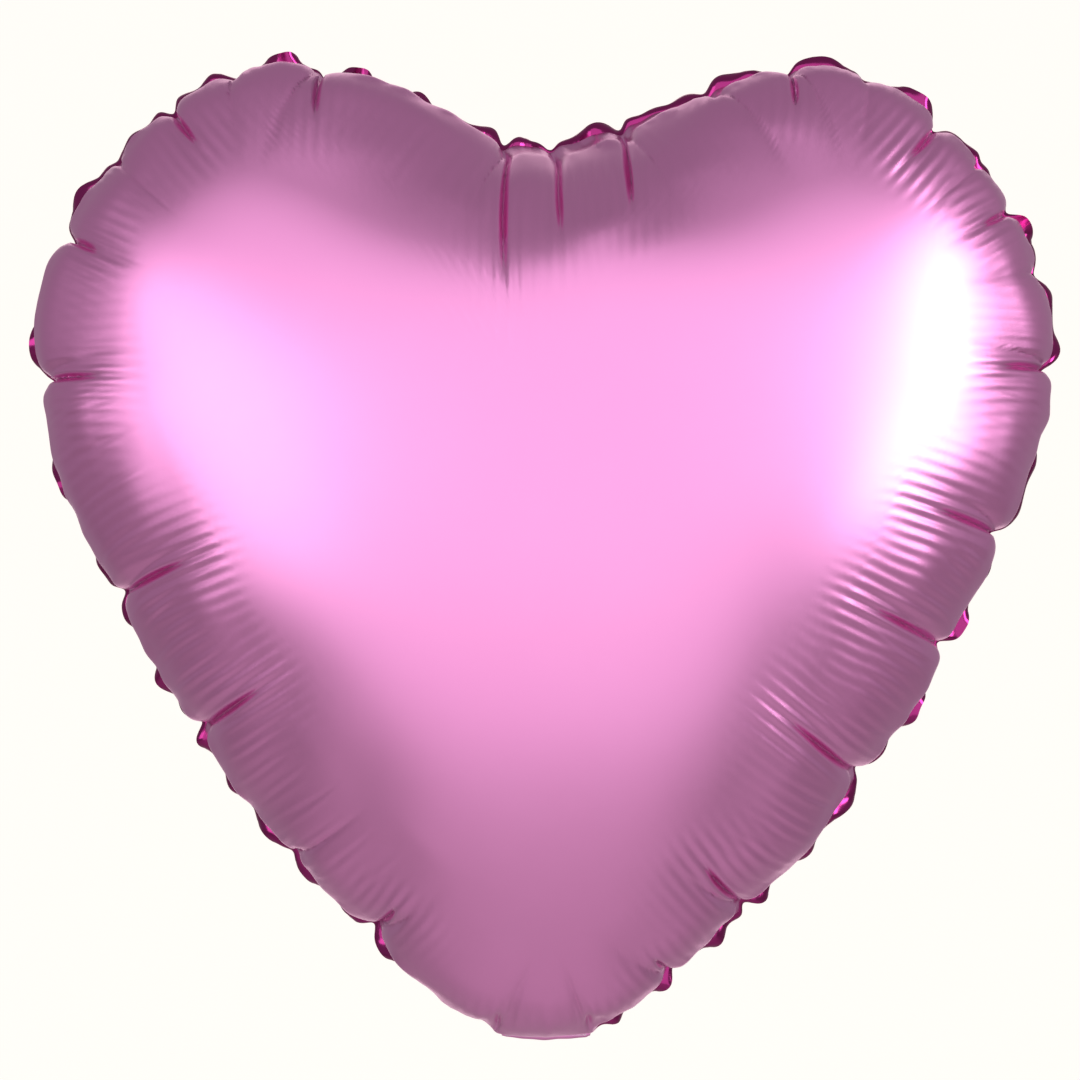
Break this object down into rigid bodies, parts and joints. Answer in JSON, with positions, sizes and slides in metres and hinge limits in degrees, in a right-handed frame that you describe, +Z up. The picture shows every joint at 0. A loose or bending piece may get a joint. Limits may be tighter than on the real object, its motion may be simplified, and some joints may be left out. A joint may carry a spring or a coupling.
{
  "type": "heart-shaped foil balloon",
  "caption": "Inflated heart-shaped foil balloon: two welded metallised films with a flat welded rim, a self-closing film valve and a tail folded up behind it.",
  "frame": {"origin": "the neck: the middle of the lower edge of the heart, where the tail leaves it and a tie goes round it", "axes": "+Z up from the neck to the notch, -Y out of the front, +X across the heart to the right of somebody who faces the front"},
  "size_m": [0.38, 0.1848, 0.3632],
  "materials": {
    "front_foil": "satin pink metallised film",
    "back_foil": "satin pink metallised film",
    "valve_film": "thin clear film"
  },
  "bodies": {
    "envelope": {"front_panel": "front_foil", "back_panel": "back_foil", "valve_front_film": "valve_film", "valve_back_film": "valve_film"},
    "tail": {"tail_front_film": "front_foil", "tail_back_film": "back_foil", "inlet_front_film": "valve_film", "inlet_back_film": "valve_film"}
  },
  "joints": [
    {"name": "tail_fold", "type": "hinge", "parent": "envelope", "child": "tail", "pos_m": [0, 0, -0.0006], "axis": [-1, 0, 0], "range_deg": [0, 180]}
  ]
}
